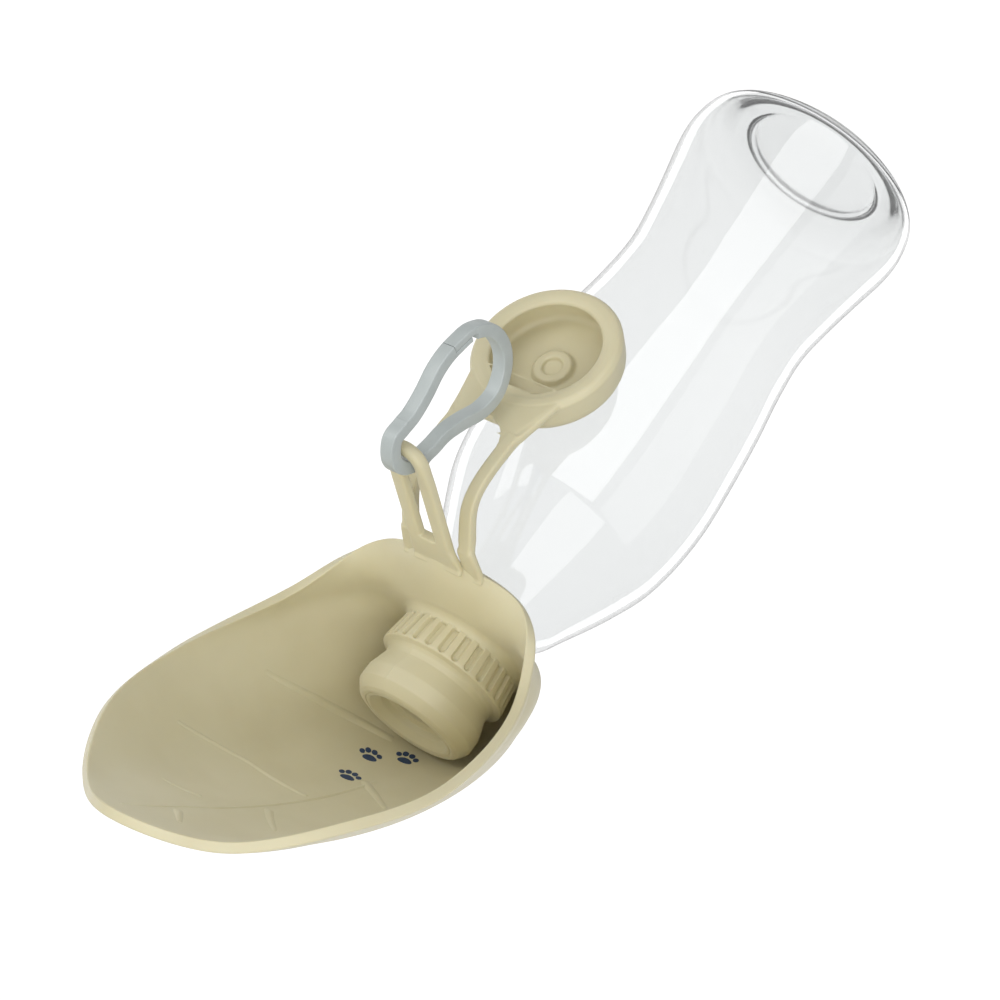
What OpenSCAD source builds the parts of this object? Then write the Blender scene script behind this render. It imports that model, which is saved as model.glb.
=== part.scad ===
// Travel water bottle for a dog: a clear waisted bottle with a soft drinking bowl around its neck.
// The bowl, collar, spout, strap, cap and clip loop are one soft moulding, shown here as its zones.
// Origin: middle of the foot, on the bottle's axis. +Z runs up to the spout.
// The bowl's mouth, the strap and the clip face -X, and everything mirrors about the XZ plane.

/* [Bottle body] */
// Height of the body, from the foot to the neck ring
body_h = 180; // [165:1:216]
// Outer radius of the ring that the bottle stands on
foot_r = 27; // [24:0.5:30]
// Radius of the hollow under the foot
recess_r = 22.5; // [18:0.5:23]
// Depth of the hollow under the foot
recess_h = 4; // [2:0.5:6]
// Largest radius of the lower body
base_r = 38; // [34:0.5:46]
// Height of the lower body's largest radius
base_z = 13; // [11:1:20]
// Radius of the waist, where a hand grips it
waist_r = 31.3; // [26:0.1:36]
// Height of the waist
waist_z = 58; // [45:1:72]
// Largest radius of the upper body
belly_r = 37; // [31:0.5:44.5]
// Height of the upper body's largest radius
belly_z = 120; // [100:1:130]
// Wall of the body
wall = 1.6; // [1.2:0.1:2.2]

/* [Neck and closure] */
// How far the ring under the thread stands out past it
ring_out = 2.8; // [1.5:0.1:3.4]
// Thickness of the ring under the thread
ring_h = 2; // [1.5:0.1:3]
// Outer radius of the neck at the root of its thread
neck_r = 12.45; // [10.4:0.05:15]
// Wall of the neck
neck_wall = 1.65; // [1.3:0.05:2.2]
// Length of the neck above its ring
neck_h = 18; // [15:0.5:21.6]
// Depth of the thread on the neck
thread_depth = 1.25; // [0.9:0.05:1.5]
// Thickness of the sealing washer
washer_h = 1.2; // [1:0.1:2]
// Wall and ceiling of the hard threaded insert
insert_wall = 1.8; // [1.5:0.1:2.4]
// Radius of the water hole through the insert
insert_hole_r = 8; // [6:0.5:9]
// Free height between the bottle's ring and the closure's skirt
skirt_gap = 1; // [0.5:0.1:2]

/* [Soft collar and spout] */
// Wall of the soft sleeve over the insert
sleeve_wall = 2.45; // [2:0.05:3]
// How far the ribbed grip stands out past the sleeve at its wide end
grip_out = 1.6; // [1.3:0.1:4]
// Length of the ribbed grip
grip_h = 9.6; // [8:0.1:11]
// Number of flutes round the grip
flutes = 24; // [16:1:30]
// Radius of one flute
flute_r = 1.1; // [0.8:0.1:1.3]
// Length of the spout
spout_h = 15; // [13:0.5:18]
// Depth of the groove between the grip and the bead, measured from the sleeve
groove_in = 1.1; // [0.9:0.1:1.5]
// How far the bead, which the cap snaps over, stands out of the groove
bead_out = 1.5; // [0.4:0.1:1.8]
// How far the spout draws in from its bead to its end face
nose_in = 2.9; // [2.2:0.1:4]
// Radius of the water passage through the spout
passage_r = 11; // [9:0.5:12]

/* [Bowl] */
// Reach of the bowl's tip past the axis, towards its mouth
bowl_reach = 84.5; // [80:0.5:102]
// Full width of the bowl
bowl_w = 96; // [86:1:116]
// Height of the bowl's tip above the spout
bowl_over = 80; // [76:0.5:96]
// How far the back lip stands from the axis
back_lip = 36.5; // [32:0.5:44]
// Thickness of the bowl's skin
skin = 2.2; // [1.8:0.1:2.8]
// Thickness of the bead along the rim
rim_bead = 3.2; // [2.8:0.1:4]

/* [Strap and cap] */
// Thickness of the strap and of the clip loop
band_h = 3; // [2.5:0.1:3.5]
// Half the clear width between the strap's two arms
arm_gap = 8; // [7.6:0.1:10]
// Width of one arm
arm_w = 4; // [3.5:0.1:5]
// Droop of the arms where they leave the lip
arm_droop = 40; // [20:1:50]
// Pull of the lip on the arms' bend: more carries it further out
arm_run = 17; // [14:0.5:21]
// Pull of the cap on the arms' bend: more makes it tighter
arm_hang = 26; // [16:0.5:32]
// Drop from the lip to the middle of the hanging cap
cap_drop = 62; // [55:0.5:74.5]
// Width of the cap's lip, from its hollow to its outer edge
cap_wall = 3; // [2.3:0.1:6.4]
// Depth of the cap
cap_depth = 12.5; // [12:0.1:15]
// Thickness of the cap's floor
cap_floor = 2.2; // [1.8:0.1:3]
// Radial room between the cap's hollow and the spout's bead
cap_room = 0.2; // [0.1:0.1:0.5]
// How far the cap's lip reaches in under the bead
lip_grip = 1.2; // [0.8:0.1:1.6]
// Free space between the hanging cap and the bottle
cap_gap = 7; // [5:0.5:10]
// How far the hanging cap's mouth looks up, or down if negative
cap_tilt = -3; // [-6:1:9]

/* [Clip loop and carabiner] */
// How far the tip of the clip loop reaches out past the cap
tip_out = 25.2; // [23:0.1:30]
// Droop of the clip loop below the horizontal
loop_droop = 10.5; // [8:0.5:12]
// Thickness of the carabiner across its plane
bar_t = 4.4; // [3.8:0.1:5.2]
// Width of the carabiner's bar in its plane
bar_w = 4.2; // [3.6:0.1:4.6]
// Room between the carabiner and each side of the loop's slot
slot_room = 0.4; // [0.2:0.1:0.8]
// Width of the band at the tip of the loop
tip_w = 3.6; // [3:0.1:4]

/* [Hidden] */
$fn = 96;

soft = [0.80, 0.76, 0.62];
clear = [0.86, 0.90, 0.92, 0.35];
hard_grey = [0.64, 0.67, 0.68];
seal_white = [0.92, 0.92, 0.90];
insert_white = [0.88, 0.88, 0.86];

run_fit = 0.1;   // clearance between pieces that are held in each other
seam = 0.3;      // free gap at each place where the moulding flexes

neck_z = body_h + ring_h;
lip_z = neck_z + neck_h;
insert_top = lip_z + washer_h + insert_wall;
skirt_z = neck_z + skirt_gap;
thread_r = neck_r + thread_depth;
ring_r = thread_r + ring_out;
insert_in = thread_r + 0.25;
insert_out = insert_in + insert_wall;
sleeve_in = insert_out + run_fit;
sleeve_out = sleeve_in + sleeve_wall;
grip_r = sleeve_out + grip_out;
groove_r = sleeve_out - groove_in;
bead_r = groove_r + bead_out;
nose_r = bead_r - nose_in;
spout_z = insert_top + run_fit;
spout_end = spout_z + spout_h;
grip_top = spout_z - 1.8;
grip_z = grip_top - grip_h;
hub_r = sleeve_out + 0.05;
root_z = grip_z - skin / 2 - 0.3;

// Curves used by every shape
function bez(a, b, c, d, t) =
  pow(1 - t, 3) * a + 3 * pow(1 - t, 2) * t * b + 3 * (1 - t) * t * t * c + t * t * t * d;
function curve(a, b, c, d, n, first = 0) = [for (i = [first:n]) bez(a, b, c, d, i / n)];
function ease(a, b, t) = a + (b - a) * (1 - cos(180 * t)) / 2;
function unit(v) = v / norm(v);
function spline(a, b, c, d, t) =
  0.5 * (2 * b + (c - a) * t + (2 * a - 5 * b + 4 * c - d) * t * t + (3 * b - a - 3 * c + d) * t * t * t);

// Side of the bottle from the lower body's largest radius up to the neck ring
side = concat(
  [for (i = [0:10]) [ease(base_r, waist_r, i / 10), base_z + (waist_z - base_z) * i / 10]],
  [for (i = [1:10]) [ease(waist_r, belly_r, i / 10), waist_z + (belly_z - waist_z) * i / 10]],
  curve([belly_r, belly_z], [belly_r, belly_z + 27], [ring_r + 11, body_h - 18.5], [ring_r, body_h], 14, 1)
);
// The same side moved inwards by the wall
function inward(pts, i) =
  let (a = pts[max(i - 1, 0)], b = pts[min(i + 1, len(pts) - 1)], t = unit(b - a))
  pts[i] + wall * [-t[1], t[0]];
side_in = [for (i = [len(side) - 1:-1:0]) inward(side, i)];

module bottle_half_outline() {
  neck_in = neck_r - neck_wall;
  hollow = curve([0, recess_h], [0.7 * recess_r, recess_h], [recess_r, 0.8 * recess_h], [recess_r, 0], 8);
  heel = curve([foot_r, 0], [foot_r + 3.5, 0.5], [base_r, base_z - 6], [base_r, base_z], 7);
  floor_in = curve([base_r - wall, base_z], [foot_r + 3, 2.2], [14, recess_h + wall],
    [0, recess_h + wall], 8, 1);
  polygon(concat(
    hollow,
    heel,
    [for (i = [1:len(side) - 1]) side[i]],
    [[ring_r, neck_z], [neck_r, neck_z], [neck_r, lip_z], [neck_in, lip_z], [neck_in, body_h + 0.5]],
    side_in,
    floor_in
  ));
}

module bottle() {
  color(clear) rotate_extrude() bottle_half_outline();
}

module ring_solid(r_in, r_out, z0, z1) {
  rotate_extrude() polygon([[r_in, z0], [r_out, z0], [r_out, z1], [r_in, z1]]);
}

module sealing_washer() {
  color(seal_white) ring_solid(neck_r - neck_wall - 1, thread_r - 0.1, lip_z, lip_z + washer_h);
}

module thread_insert() {
  ceiling_z = lip_z + washer_h;
  color(insert_white) rotate_extrude() polygon([
    [insert_in, skirt_z], [insert_out, skirt_z], [insert_out, insert_top],
    [insert_hole_r, insert_top], [insert_hole_r, ceiling_z], [insert_in, ceiling_z]
  ]);
}

// Soft sleeve over the insert, with the fluted grip above the bowl's root
module grip_collar() {
  grip_in = grip_r - 1.3;
  flute_tilt = atan2(grip_r - grip_in, grip_h);
  color(soft) difference() {
    rotate_extrude() polygon([
      [sleeve_in, skirt_z], [sleeve_out - 0.6, skirt_z], [sleeve_out, skirt_z + 0.6], [sleeve_out, grip_z],
      [grip_in, grip_z], [grip_r, grip_top - 0.6], [grip_r - 0.4, grip_top],
      [groove_r + 0.4, grip_top + 0.3], [groove_r, grip_top + 0.7], [groove_r, spout_z], [sleeve_in, spout_z]
    ]);
    for (i = [0:flutes - 1])
      rotate([0, 0, (i + 0.5) * 360 / flutes])
        translate([grip_in + 0.15, 0, grip_z + flute_r + 0.7])
          rotate([0, flute_tilt, 0])
            flute_cutter(grip_h + 3);
  }
}

// Round-ended rod, turned from one outline
module flute_cutter(length) {
  rotate_extrude($fn = 24) polygon(concat(
    [for (t = [-90:30:0]) flute_r * [cos(t), sin(t)]],
    [[flute_r, length], [0, length]]
  ));
}

// Spout with a bead for the cap, a fine ring on its end face and the water passage
module spout() {
  bead_z = spout_end - 7.3;
  bead_top = spout_end - 2.8;
  flare = curve([groove_r, spout_z + 2.6], [groove_r, bead_z - 2], [bead_r, bead_z - 2.5],
    [bead_r, bead_z], 6);
  ring_line = nose_r - 1.8;
  color(soft) rotate_extrude() polygon(concat(
    [[passage_r, spout_z], [groove_r, spout_z]],
    flare,
    [[bead_r, bead_top - 0.8], [bead_r - 0.5, bead_top], [nose_r + 0.5, spout_end - 0.3], [nose_r, spout_end]],
    [[ring_line + 0.3, spout_end], [ring_line, spout_end - 0.3], [ring_line - 0.3, spout_end]],
    [[passage_r + 0.6, spout_end], [passage_r, spout_end - 0.6]]
  ));
}

// Bowl: every line from its root to its rim is a cubic curve. The root is a circle on the sleeve, and
// the other three control rings are closed splines through the stations below. A station holds the
// reach towards the mouth, the half width and the height above the root. The first station is the
// bowl's tip, the last is the back lip, and the rest mirror about the middle.
over = spout_end - root_z;
half_w = bowl_w / 2;
near_ring = [[-52, 0, -4.3], [-42, 13, -4.6], [-24, 20.5, -5.4], [-4.5, 30.5, -6.9], [9, 31, -7.5],
             [20, 16, -3.2], [24.6, 0, -1.7]];
mid_ring = [[-16, 0, over + 24.5], [-11.5, 25, over + 21.5], [5, 35, over + 14.5], [15, 41, over + 3],
            [17, 40, 12.3], [25, 24, -2.5], [30.8, 0, -2.5]];
rim_ring = [[bowl_reach, 0, over + bowl_over], [0.85 * bowl_reach, 0.5 * half_w, over + 0.89 * bowl_over],
            [0.7 * bowl_reach, 0.865 * half_w, over + 0.61 * bowl_over],
            [0.49 * bowl_reach, half_w, over + 0.28 * bowl_over],
            [0.3 * bowl_reach, 0.86 * half_w, 17.2], [back_lip - 9.6, 25.5, -6.5], [back_lip, 0, -7]];
stations = 12;
around = 72;
along = 14;
bead_steps = 4;

function station(ring, k) = let (m = (k + stations) % stations)
  m < len(ring) ? ring[m] : let (s = ring[stations - m]) [s[0], -s[1], s[2]];
function on_ring(ring, a) = let (k = floor(a * stations), t = a * stations - k)
  spline(station(ring, k - 1), station(ring, k), station(ring, k + 1), station(ring, k + 2), t);
function root_point(a) = [-hub_r * cos(360 * a), hub_r * sin(360 * a), 0] / cos(180 / around);
// A point of the skin's middle surface, at share a of the way round and share s from root to rim
function skin_point(a, s) = let (
    p = bez(root_point(a), on_ring(near_ring, a), on_ring(mid_ring, a), on_ring(rim_ring, a), s)
  ) [-p[0], p[1], root_z + p[2]];
function skin_normal(a, s) = let (
    da = skin_point(a + 0.002, s) - skin_point(a - 0.002, s),
    ds = skin_point(a, min(s + 0.004, 1)) - skin_point(a, max(s - 0.004, 0))
  ) s < 0.001 ? [0, 0, 1] : unit(cross(ds, da));
function skin_half(s) = s < 0.9 ? skin / 2 : ease(skin / 2, rim_bead / 2, (s - 0.9) / 0.1);
function outward(a) = unit(skin_point(a, 1) - skin_point(a, 0.98));

// Inner wall from root to rim, round the bead, and back down the outer wall
function wall_point(a, k) =
  k <= along ? let (s = k / along) skin_point(a, s) + skin_half(s) * skin_normal(a, s)
  : k < along + bead_steps ? let (turn = 180 * (k - along) / bead_steps)
      skin_point(a, 1) + rim_bead / 2 * (cos(turn) * skin_normal(a, 1) + sin(turn) * outward(a))
  : let (s = (2 * along + bead_steps - k) / along) skin_point(a, s) - skin_half(s) * skin_normal(a, s);

module bowl() {
  rows = 2 * along + bead_steps + 1;
  points = [for (i = [0:around - 1], k = [0:rows - 1]) wall_point(i / around, k)];
  faces = [for (i = [0:around - 1], k = [0:rows - 1]) let (
      a = i * rows + k,
      b = i * rows + (k + 1) % rows,
      c = ((i + 1) % around) * rows + (k + 1) % rows,
      d = ((i + 1) % around) * rows + k
    ) each [[a, b, c], [a, c, d]]];
  color(soft) polyhedron(points, faces, convexity = 8);
}

// The tether leaves the back lip here, and its hinge line runs along Y
lip_d = back_lip + rim_bead / 2 + seam;
tether_z = root_z - 7;

// Hanging cap: its front face, its tilt and the line where its web meets the arms
cap_r = bead_r + cap_room + cap_wall;
cap_z = tether_z - cap_drop;
cap_d = belly_r + cap_gap + cap_depth;
notch_x = cap_r + 4.5;
web_x = notch_x + 4.4;
arm_out = arm_gap + arm_w;
joint_d = cap_d - web_x * sin(cap_tilt);
joint_z = cap_z + web_x * cos(cap_tilt);
loop_l = (cap_d + tip_out - lip_d) / cos(loop_droop);

// Places a shape drawn as [distance from the axis towards the mouth, height] in the XZ plane
module side_slice(width) {
  translate([0, width / 2, 0]) rotate([90, 0, 0]) mirror([1, 0, 0]) linear_extrude(width) children();
}

module clip_loop() {
  slot_r = bar_t / 2 + slot_room;
  band_w = slot_r + 4.5;
  slot_end = loop_l - tip_w;
  color(soft) translate([-lip_d, 0, tether_z + 0.2]) rotate([0, 180 - loop_droop, 0]) mirror([0, 0, 1])
    translate([0, 0, -band_h / 2]) linear_extrude(band_h) difference() {
      union() {
        translate([0, -band_w]) square([loop_l - band_w, 2 * band_w]);
        translate([loop_l - band_w, 0]) circle(r = band_w);
      }
      translate([4.5 + slot_r, -slot_r]) square([slot_end - 4.5 - 2 * slot_r, 2 * slot_r]);
      translate([4.5 + slot_r, 0]) circle(r = slot_r);
      translate([slot_end - slot_r, 0]) circle(r = slot_r);
    }
}

// Arms: from the lip, over a wide bend and down to the cap's web
module strap() {
  end_mid = [joint_d - band_h / 2, joint_z + seam];
  root = [lip_d, tether_z];
  leave = [cos(arm_droop), -sin(arm_droop)];
  path = concat([root - 3 * leave],
    curve(root, root + arm_run * leave, end_mid + arm_hang * [sin(5), cos(5)], end_mid, 16));
  color(soft) intersection() {
    side_slice(2 * arm_out) polygon(concat(
      [for (i = [0:len(path) - 1]) path[i] + band_h / 2 * path_normal(path, i)],
      [for (i = [len(path) - 1:-1:0]) path[i] - band_h / 2 * path_normal(path, i)]
    ));
    arms_from_front(max([for (p = path) p[0]]) + band_h);
  }
}

function path_normal(path, i) = let (
    t = unit(path[min(i + 1, len(path) - 1)] - path[max(i - 1, 0)])
  ) [-t[1], t[0]];

module arms_from_front(depth) {
  notch_z = joint_z + (notch_x + arm_gap - web_x) * cos(cap_tilt);
  top = tether_z + band_h;
  translate([-depth, 0, 0]) rotate([90, 0, 90]) linear_extrude(depth - lip_d) difference() {
    translate([-arm_out, joint_z + seam]) square([2 * arm_out, top - joint_z]);
    translate([-arm_gap, notch_z]) square([2 * arm_gap, top - notch_z + 1]);
    translate([0, notch_z]) circle(r = arm_gap);
  }
}

// Cap drawn about its own axis, mouth up, with its web along +X
module cap() {
  hollow_r = bead_r + cap_room;
  mouth_r = groove_r - lip_grip;
  round_r = 5;
  back_r = cap_r - 1.3;
  corner = [for (t = [0:18:90]) [back_r - round_r * (1 - cos(t)), -cap_depth + round_r * (1 - sin(t))]];
  touch_r = cap_r - 3.5;
  web_turn = atan2(arm_out, web_x) + acos(touch_r / norm([web_x, arm_out]));
  touch = touch_r * [cos(web_turn), sin(web_turn)];
  color(soft) translate([-cap_d, 0, cap_z]) rotate([0, -90 + cap_tilt, 0]) {
    difference() {
      union() {
        rotate_extrude() polygon(concat(
          [[0, 0], [cap_r - 1.6, 0], [cap_r - 0.45, -0.45], [cap_r, -1.6]], corner, [[0, -cap_depth]]
        ));
        translate([0, 0, -band_h]) linear_extrude(band_h) difference() {
          polygon([[web_x, arm_out], touch, [0, 0], [touch[0], -touch[1]], [web_x, -arm_out]]);
          translate([notch_x + arm_gap, 0]) circle(r = arm_gap);
        }
      }
      rotate_extrude() polygon([
        [0, 1], [mouth_r + 1.2, 1], [mouth_r + 0.6, -0.2], [mouth_r, -0.8], [mouth_r, -1.6], [hollow_r, -2.2],
        [hollow_r, cap_floor - cap_depth + 1], [hollow_r - 1, cap_floor - cap_depth], [0, cap_floor - cap_depth]
      ]);
    }
    translate([0, 0, cap_floor - cap_depth]) ring_solid(2.9, 5.4, -0.2, 2.2);
  }
}

// Carabiner: a pear-shaped ring about the tip of the loop. Its middle line is a closed spline through
// these points, each [distance outwards, height] from the middle of the loop's tip.
pear = [[6.4, 2], [6.6, -2.5], [6.4, -7], [7.6, -13], [9.6, -19], [10.2, -24], [9.6, -29], [8, -34.5],
        [3.6, -39.4], [-2.5, -41.6], [-9, -41.2], [-14.5, -38], [-17.6, -32.5], [-16.7, -26], [-13, -19.5],
        [-10, -13], [-9, -7], [-7.2, -1], [-3.5, 3.6], [1.5, 4.9]];
gate_from = 2;       // spline place of the gate's flexing root
gate_to = 5.4;       // spline place of the seam at the nose
tongue_to = 6.8;     // spline place of the end of the gate's tongue
lap_to = 7.2;        // spline place where the fixed nose gets its full width again
ring_step = 0.25;
flex_gap = 0.1;      // half the free gap at the gate's root, in spline places
tip_mid = [lip_d + (loop_l - tip_w / 2) * cos(loop_droop),
           tether_z + 0.2 - (loop_l - tip_w / 2) * sin(loop_droop)];

function pear_at(k) = pear[(k + len(pear)) % len(pear)];
function pear_point(u) = let (k = floor(u), t = u - k)
  spline(pear_at(k - 1), pear_at(k), pear_at(k + 1), pear_at(k + 2), t);
function pear_out(u) = let (t = unit(pear_point(u + 0.02) - pear_point(u - 0.02))) [-t[1], t[0]];

// Bevelled section of the bar at place u, from inner edge a to outer edge b
function bar_ring(u, a, b) = let (
    p = tip_mid + pear_point(u),
    n = pear_out(u),
    c = min(0.9, (b - a) / 3),
    h = bar_t / 2,
    section = [[b, h - c], [b - c, h], [a + c, h], [a, h - c], [a, c - h], [a + c, -h], [b - c, -h], [b, c - h]]
  ) [for (q = section) [-(p[0] + q[0] * n[0]), q[1], p[1] + q[0] * n[1]]];

module bar(rings) {
  count = len(rings);
  points = [for (r = rings) each r];
  sides = [for (i = [0:count - 2], j = [0:7]) let (
      a = i * 8 + j,
      b = i * 8 + (j + 1) % 8
    ) each [[a, b, b + 8], [a, b + 8, a + 8]]];
  ends = [[for (j = [7:-1:0]) j], [for (j = [0:7]) (count - 1) * 8 + j]];
  polyhedron(points, concat(sides, ends), convexity = 6);
}

half_bar = bar_w / 2;
lap_in = -0.15;      // inner edge of the fixed nose where it laps the tongue
lap_out = -0.45;     // outer edge of the tongue

module carabiner_body() {
  last = gate_from + len(pear) - flex_gap;
  color(hard_grey) bar(concat(
    [for (u = [gate_to + 0.17:ring_step:lap_to - 0.1]) bar_ring(u, lap_in, half_bar)],
    [bar_ring(lap_to, lap_in, half_bar), bar_ring(lap_to + 0.08, -half_bar, half_bar)],
    [for (u = [lap_to + 0.3:ring_step:last - 0.1]) bar_ring(u, -half_bar, half_bar)],
    [bar_ring(last, -half_bar, half_bar)]
  ));
}

module carabiner_gate() {
  first = gate_from + flex_gap;
  color(hard_grey) bar(concat(
    [for (u = [first:ring_step:gate_to - 0.1]) bar_ring(u, -half_bar, half_bar)],
    [bar_ring(gate_to, -half_bar, half_bar), bar_ring(gate_to + 0.05, -half_bar, lap_out)],
    [for (u = [gate_to + 0.3:ring_step:tongue_to - 0.1]) bar_ring(u, -half_bar, lap_out)],
    [bar_ring(tongue_to, -half_bar, lap_out)]
  ));
}

bottle();
sealing_washer();
thread_insert();
grip_collar();
spout();
bowl();
clip_loop();
strap();
cap();
carabiner_body();
carabiner_gate();
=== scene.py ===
# %% [markdown]
# # A travel water bottle for a dog
#
# The real thing is a clear, waisted bottle with a soft silicone moulding screwed on its neck. The
# moulding is bowl, grip, spout, clip loop, strap and cap in one, and a grey plastic carabiner hangs on
# its loop. The imported model gives every piece its size, its place and its joints. This lesson makes the
# surfaces that are seen: each new piece stands for a packed one and sits where it sits. The rigid ones
# move with the same body, and the ones that bend stay where they are made.

# %% Load the frame
import math

import bmesh
import bpy
from mathutils import Matrix, Vector


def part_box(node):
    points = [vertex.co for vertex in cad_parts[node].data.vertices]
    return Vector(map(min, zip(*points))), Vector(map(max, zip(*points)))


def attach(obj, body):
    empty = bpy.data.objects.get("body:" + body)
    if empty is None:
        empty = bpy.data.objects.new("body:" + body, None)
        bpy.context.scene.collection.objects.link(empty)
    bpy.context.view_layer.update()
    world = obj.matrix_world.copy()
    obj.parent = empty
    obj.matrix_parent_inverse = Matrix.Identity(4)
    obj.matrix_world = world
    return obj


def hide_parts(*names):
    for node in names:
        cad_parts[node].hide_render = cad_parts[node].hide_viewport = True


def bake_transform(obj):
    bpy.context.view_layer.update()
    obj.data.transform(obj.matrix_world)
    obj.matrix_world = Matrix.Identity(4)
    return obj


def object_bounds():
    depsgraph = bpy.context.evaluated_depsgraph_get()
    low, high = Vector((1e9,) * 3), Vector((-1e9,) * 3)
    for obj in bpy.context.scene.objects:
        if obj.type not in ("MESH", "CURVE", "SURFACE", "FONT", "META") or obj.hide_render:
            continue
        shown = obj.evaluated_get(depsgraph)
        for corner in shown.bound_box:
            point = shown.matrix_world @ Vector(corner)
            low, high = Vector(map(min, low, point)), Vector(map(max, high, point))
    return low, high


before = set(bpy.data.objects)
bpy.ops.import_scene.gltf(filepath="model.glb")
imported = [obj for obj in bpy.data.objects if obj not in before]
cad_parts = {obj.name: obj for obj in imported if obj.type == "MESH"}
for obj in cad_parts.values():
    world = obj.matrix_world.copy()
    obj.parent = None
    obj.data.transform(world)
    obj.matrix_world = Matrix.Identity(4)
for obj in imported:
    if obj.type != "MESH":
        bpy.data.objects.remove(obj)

cad_low, cad_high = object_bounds()
bpy.ops.object.select_all(action="DESELECT")
MM = 0.001
print("box of the part in mm:", [round(v / MM) for v in cad_high - cad_low])

# %% [markdown]
# ## Camera
#
# The photograph was taken with a long lens, with the bottle tilted and its foot up. The part could be
# turned to match, but it stands upright in its frame, so the camera is rolled instead. Its directions to
# the right and upwards are written in the frame's axes, and the third one follows from them. A long lens
# keeps the near bowl and the far foot close to their true proportions.

# %% Camera
CAMERA_PLACE = Vector((-0.632099, 0.406592, 0.411625))
CAMERA_RIGHT = Vector((0.287489, 0.776964, -0.560069))
CAMERA_UP = Vector((-0.552384, -0.343205, -0.759660))
CAMERA_BACK = CAMERA_RIGHT.cross(CAMERA_UP)

camera = bpy.data.objects.new("camera", bpy.data.cameras.new("camera"))
bpy.context.scene.collection.objects.link(camera)
camera.data.lens = 100
camera.data.sensor_width = 36
turn = Matrix((CAMERA_RIGHT, CAMERA_UP, CAMERA_BACK)).transposed()
camera.matrix_world = Matrix.Translation(CAMERA_PLACE) @ turn.to_4x4()
bpy.context.scene.camera = camera
print("the camera stands", round(CAMERA_PLACE.length, 2), "m from the middle of the foot")

# %% [markdown]
# ## Helpers for selecting
#
# Operators work on what is selected, so each of these first makes one object the only selected one.
# Modelling by hand does the same with a click. A modifier is applied as soon as it is set, so that every
# later step sees the finished shape.

# %% Helpers for selecting
def pick(obj):
    """Makes obj the only selected object, and the active one."""
    bpy.ops.object.select_all(action="DESELECT")
    obj.select_set(True)
    bpy.context.view_layer.objects.active = obj


def named(name):
    """Names the object that an operator has just added."""
    obj = bpy.context.object
    obj.name = obj.data.name = name
    return obj


def in_edit(obj):
    """Opens obj for editing with everything in it selected."""
    pick(obj)
    bpy.ops.object.mode_set(mode="EDIT")
    bpy.ops.mesh.select_all(action="SELECT")


def done():
    """Leaves edit mode."""
    bpy.ops.object.mode_set(mode="OBJECT")


def modify(obj, kind, **settings):
    """Adds a modifier, sets it and applies it."""
    pick(obj)
    modifier = obj.modifiers.new(kind.title(), kind)
    for key, value in settings.items():
        setattr(modifier, key, value)
    bpy.ops.object.modifier_apply(modifier=modifier.name)


def smooth(obj, angle=40):
    """Shades obj smooth, apart from edges that are sharper than the angle in degrees."""
    pick(obj)
    bpy.ops.object.shade_smooth_by_angle(angle=math.radians(angle))


# %% [markdown]
# ## Helpers for outlines
#
# Moulded things have rounded corners and flowing lines. An outline is a short list of places in
# millimetres, and these make it smooth in two ways: one rounds the corners of a straight-sided outline,
# the other leads a smooth line through all of its places.

# %% Helpers for outlines
def rounded(corners, closed=True, steps=4):
    """Replaces each (x, z, radius) corner by a small curve, where its radius isn't 0."""
    points = []
    for i, (x, z, radius) in enumerate(corners):
        here = Vector((x, z))
        ends = not closed and i in (0, len(corners) - 1)
        if radius == 0 or ends:
            points.append(here)
            continue
        before = Vector(corners[i - 1][:2]) - here
        after = Vector(corners[(i + 1) % len(corners)][:2]) - here
        corner = before.angle(after)
        reach = min(radius / math.tan(corner / 2), 0.48 * before.length, 0.48 * after.length)
        a, b = here + before.normalized() * reach, here + after.normalized() * reach
        for k in range(steps + 1):
            t = k / steps
            points.append(a * (1 - t) ** 2 + here * 2 * t * (1 - t) + b * t * t)
    return points


def between(a, b, c, d, t):
    """A place on a smooth line from b to c, with a before them and d after them."""
    return 0.5 * (2 * b + (c - a) * t + (2 * a - 5 * b + 4 * c - d) * t * t
                  + (3 * b - a - 3 * c + d) * t ** 3)


def through(places, steps=5):
    """A smooth line through places, with steps between each two."""
    places = [Vector(p) for p in places]
    last = len(places) - 1
    line = []
    for i in range(last):
        for k in range(steps):
            line.append(between(places[max(i - 1, 0)], places[i], places[i + 1], places[min(i + 2, last)],
                                k / steps))
    return line + [places[-1]]


# %% [markdown]
# ## Helpers for turned shapes
#
# Bottle, collar and cap are round. Their outline is drawn in the XZ plane, as distance from the axis and
# height, by extruding one vertex from place to place, and Spin then turns it about the Z axis. The ends
# meet and are merged, and the normals are made to point outwards.

# %% Helpers for turned shapes
DOUBLES = 0.002


def trace(name, points, closed):
    """Draws an outline by extruding one vertex from point to point."""
    bpy.ops.mesh.primitive_plane_add(size=0.01)
    obj = named(name)
    in_edit(obj)
    bpy.ops.mesh.merge(type="CENTER")
    bpy.ops.transform.translate(value=(points[0][0] * MM, 0, points[0][1] * MM))
    for here, there in zip(points, points[1:]):
        step = ((there[0] - here[0]) * MM, 0, (there[1] - here[1]) * MM)
        bpy.ops.mesh.extrude_vertices_move(TRANSFORM_OT_translate={"value": step})
    if closed:
        mesh = bmesh.from_edit_mesh(obj.data)
        mesh.verts.ensure_lookup_table()
        mesh.edges.new((mesh.verts[-1], mesh.verts[0]))
        bmesh.update_edit_mesh(obj.data)
    done()
    return obj


def turned(name, points, steps, closed=True):
    """Turns an outline into a solid of revolution about the Z axis."""
    obj = trace(name, points, closed)
    in_edit(obj)
    bpy.ops.mesh.spin(steps=steps, angle=2 * math.pi, center=(0, 0, 0), axis=(0, 0, 1))
    bpy.ops.mesh.select_all(action="SELECT")
    bpy.ops.mesh.remove_doubles(threshold=DOUBLES * MM)
    bpy.ops.mesh.normals_make_consistent(inside=False)
    done()
    return obj


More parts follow.
